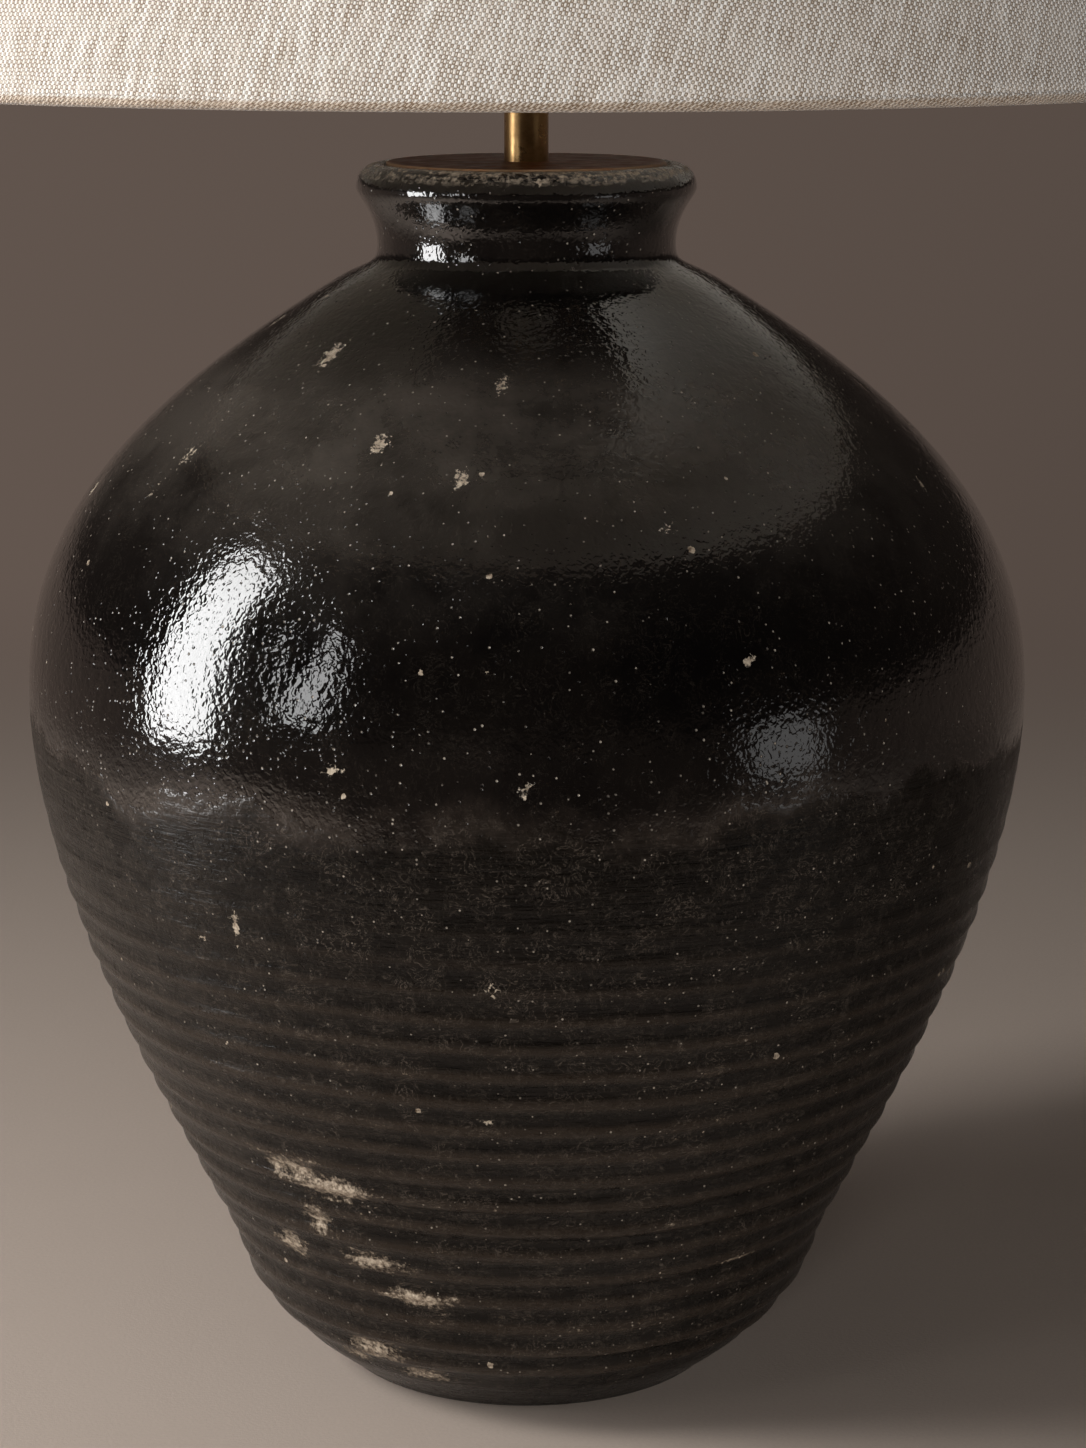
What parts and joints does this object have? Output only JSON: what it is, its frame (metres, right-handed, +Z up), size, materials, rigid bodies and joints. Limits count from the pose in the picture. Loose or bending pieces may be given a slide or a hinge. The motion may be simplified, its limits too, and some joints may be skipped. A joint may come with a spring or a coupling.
{
  "type": "table lamp",
  "caption": "Table lamp made from a tall ribbed stoneware jar, with a wooden cap, brass stem, turn-key socket, harp and rolled-edge linen drum shade.",
  "frame": {"origin": "centre of the underside, on the table", "axes": "+Z up, -Y towards the pictured front, harp in the X-Z plane"},
  "size_m": [0.5199, 0.52, 0.8035],
  "materials": {
    "jar_glaze": "glossy black-brown glaze above, satin unglazed body below",
    "dark_wood": "dark aged, satin",
    "aged_brass": "aged, satin",
    "zinc_steel": "zinc plated",
    "black_rubber": "matt",
    "black_phenolic": "moulded, semi-gloss",
    "card": "matt",
    "bulb_aluminium": "satin",
    "frosted_glass": "frosted",
    "linen": "plain-woven natural linen",
    "shade_backing": "matt white",
    "felt": "felt"
  },
  "bodies": {
    "lamp_body": {"felt_pad": "felt", "jar": "jar_glaze", "floor_cushion": "black_rubber", "floor_washer": "zinc_steel", "floor_nut": "aged_brass", "threaded_tube": "zinc_steel", "cord_bush": "black_rubber", "wood_cap": "dark_wood", "brass_stem": "aged_brass", "check_ring": "aged_brass", "harp_saddle": "aged_brass", "harp_bow": "aged_brass", "harp_stud": "aged_brass", "socket_cap": "aged_brass", "socket_set_screw": "zinc_steel", "socket_shell": "aged_brass", "socket_liner": "card", "socket_body": "black_phenolic", "screw_shell": "aged_brass", "centre_contact": "aged_brass", "terminal_screw_left": "aged_brass", "terminal_screw_right": "aged_brass"},
    "left_sleeve": {"harp_sleeve_left": "aged_brass"},
    "right_sleeve": {"harp_sleeve_right": "aged_brass"},
    "turn_key": {"switch_shaft": "zinc_steel", "switch_key": "black_phenolic"},
    "bulb_foot": {"bulb_tip": "zinc_steel", "bulb_insulator": "black_phenolic"},
    "bulb": {"bulb_base": "bulb_aluminium", "bulb_glass": "frosted_glass"},
    "shade": {"shade_cover": "linen", "shade_liner": "shade_backing", "shade_seam": "linen", "shade_top_wire": "zinc_steel", "shade_bottom_wire": "zinc_steel", "shade_spider": "aged_brass"},
    "finial_foot": {"finial_base": "aged_brass"},
    "finial_head": {"finial_knob": "aged_brass"}
  },
  "joints": [
    {"name": "left_sleeve_slide", "type": "slide", "parent": "lamp_body", "child": "left_sleeve", "axis": [0, 0, 1], "range_m": [0, 0.016]},
    {"name": "right_sleeve_slide", "type": "slide", "parent": "lamp_body", "child": "right_sleeve", "axis": [0, 0, 1], "range_m": [0, 0.016]},
    {"name": "key_turn", "type": "hinge", "parent": "lamp_body", "child": "turn_key", "pos_m": [0, 0, 0.5193], "axis": [0, -1, 0], "continuous": true},
    {"name": "bulb_lift", "type": "slide", "parent": "lamp_body", "child": "bulb_foot", "axis": [0, 0, 1], "range_m": [0, 0.011]},
    {"name": "bulb_turn", "type": "hinge", "parent": "bulb_foot", "child": "bulb", "pos_m": [0, 0, 0.5306], "axis": [0, 0, 1], "range_deg": [0, 1080]},
    {"name": "shade_turn", "type": "hinge", "parent": "lamp_body", "child": "shade", "pos_m": [0, 0, 0.776], "axis": [0, 0, 1], "continuous": true},
    {"name": "finial_lift", "type": "slide", "parent": "lamp_body", "child": "finial_foot", "axis": [0, 0, 1], "range_m": [0, 0.0052]},
    {"name": "finial_turn", "type": "hinge", "parent": "finial_foot", "child": "finial_head", "pos_m": [0, 0, 0.7779], "axis": [0, 0, 1], "range_deg": [0, 1800]}
  ],
  "couplings": [
    {"joint": "bulb_lift", "follows": "bulb_turn", "m_per_rad": 0.0005776},
    {"joint": "finial_lift", "follows": "finial_turn", "m_per_rad": 0.00014976}
  ]
}
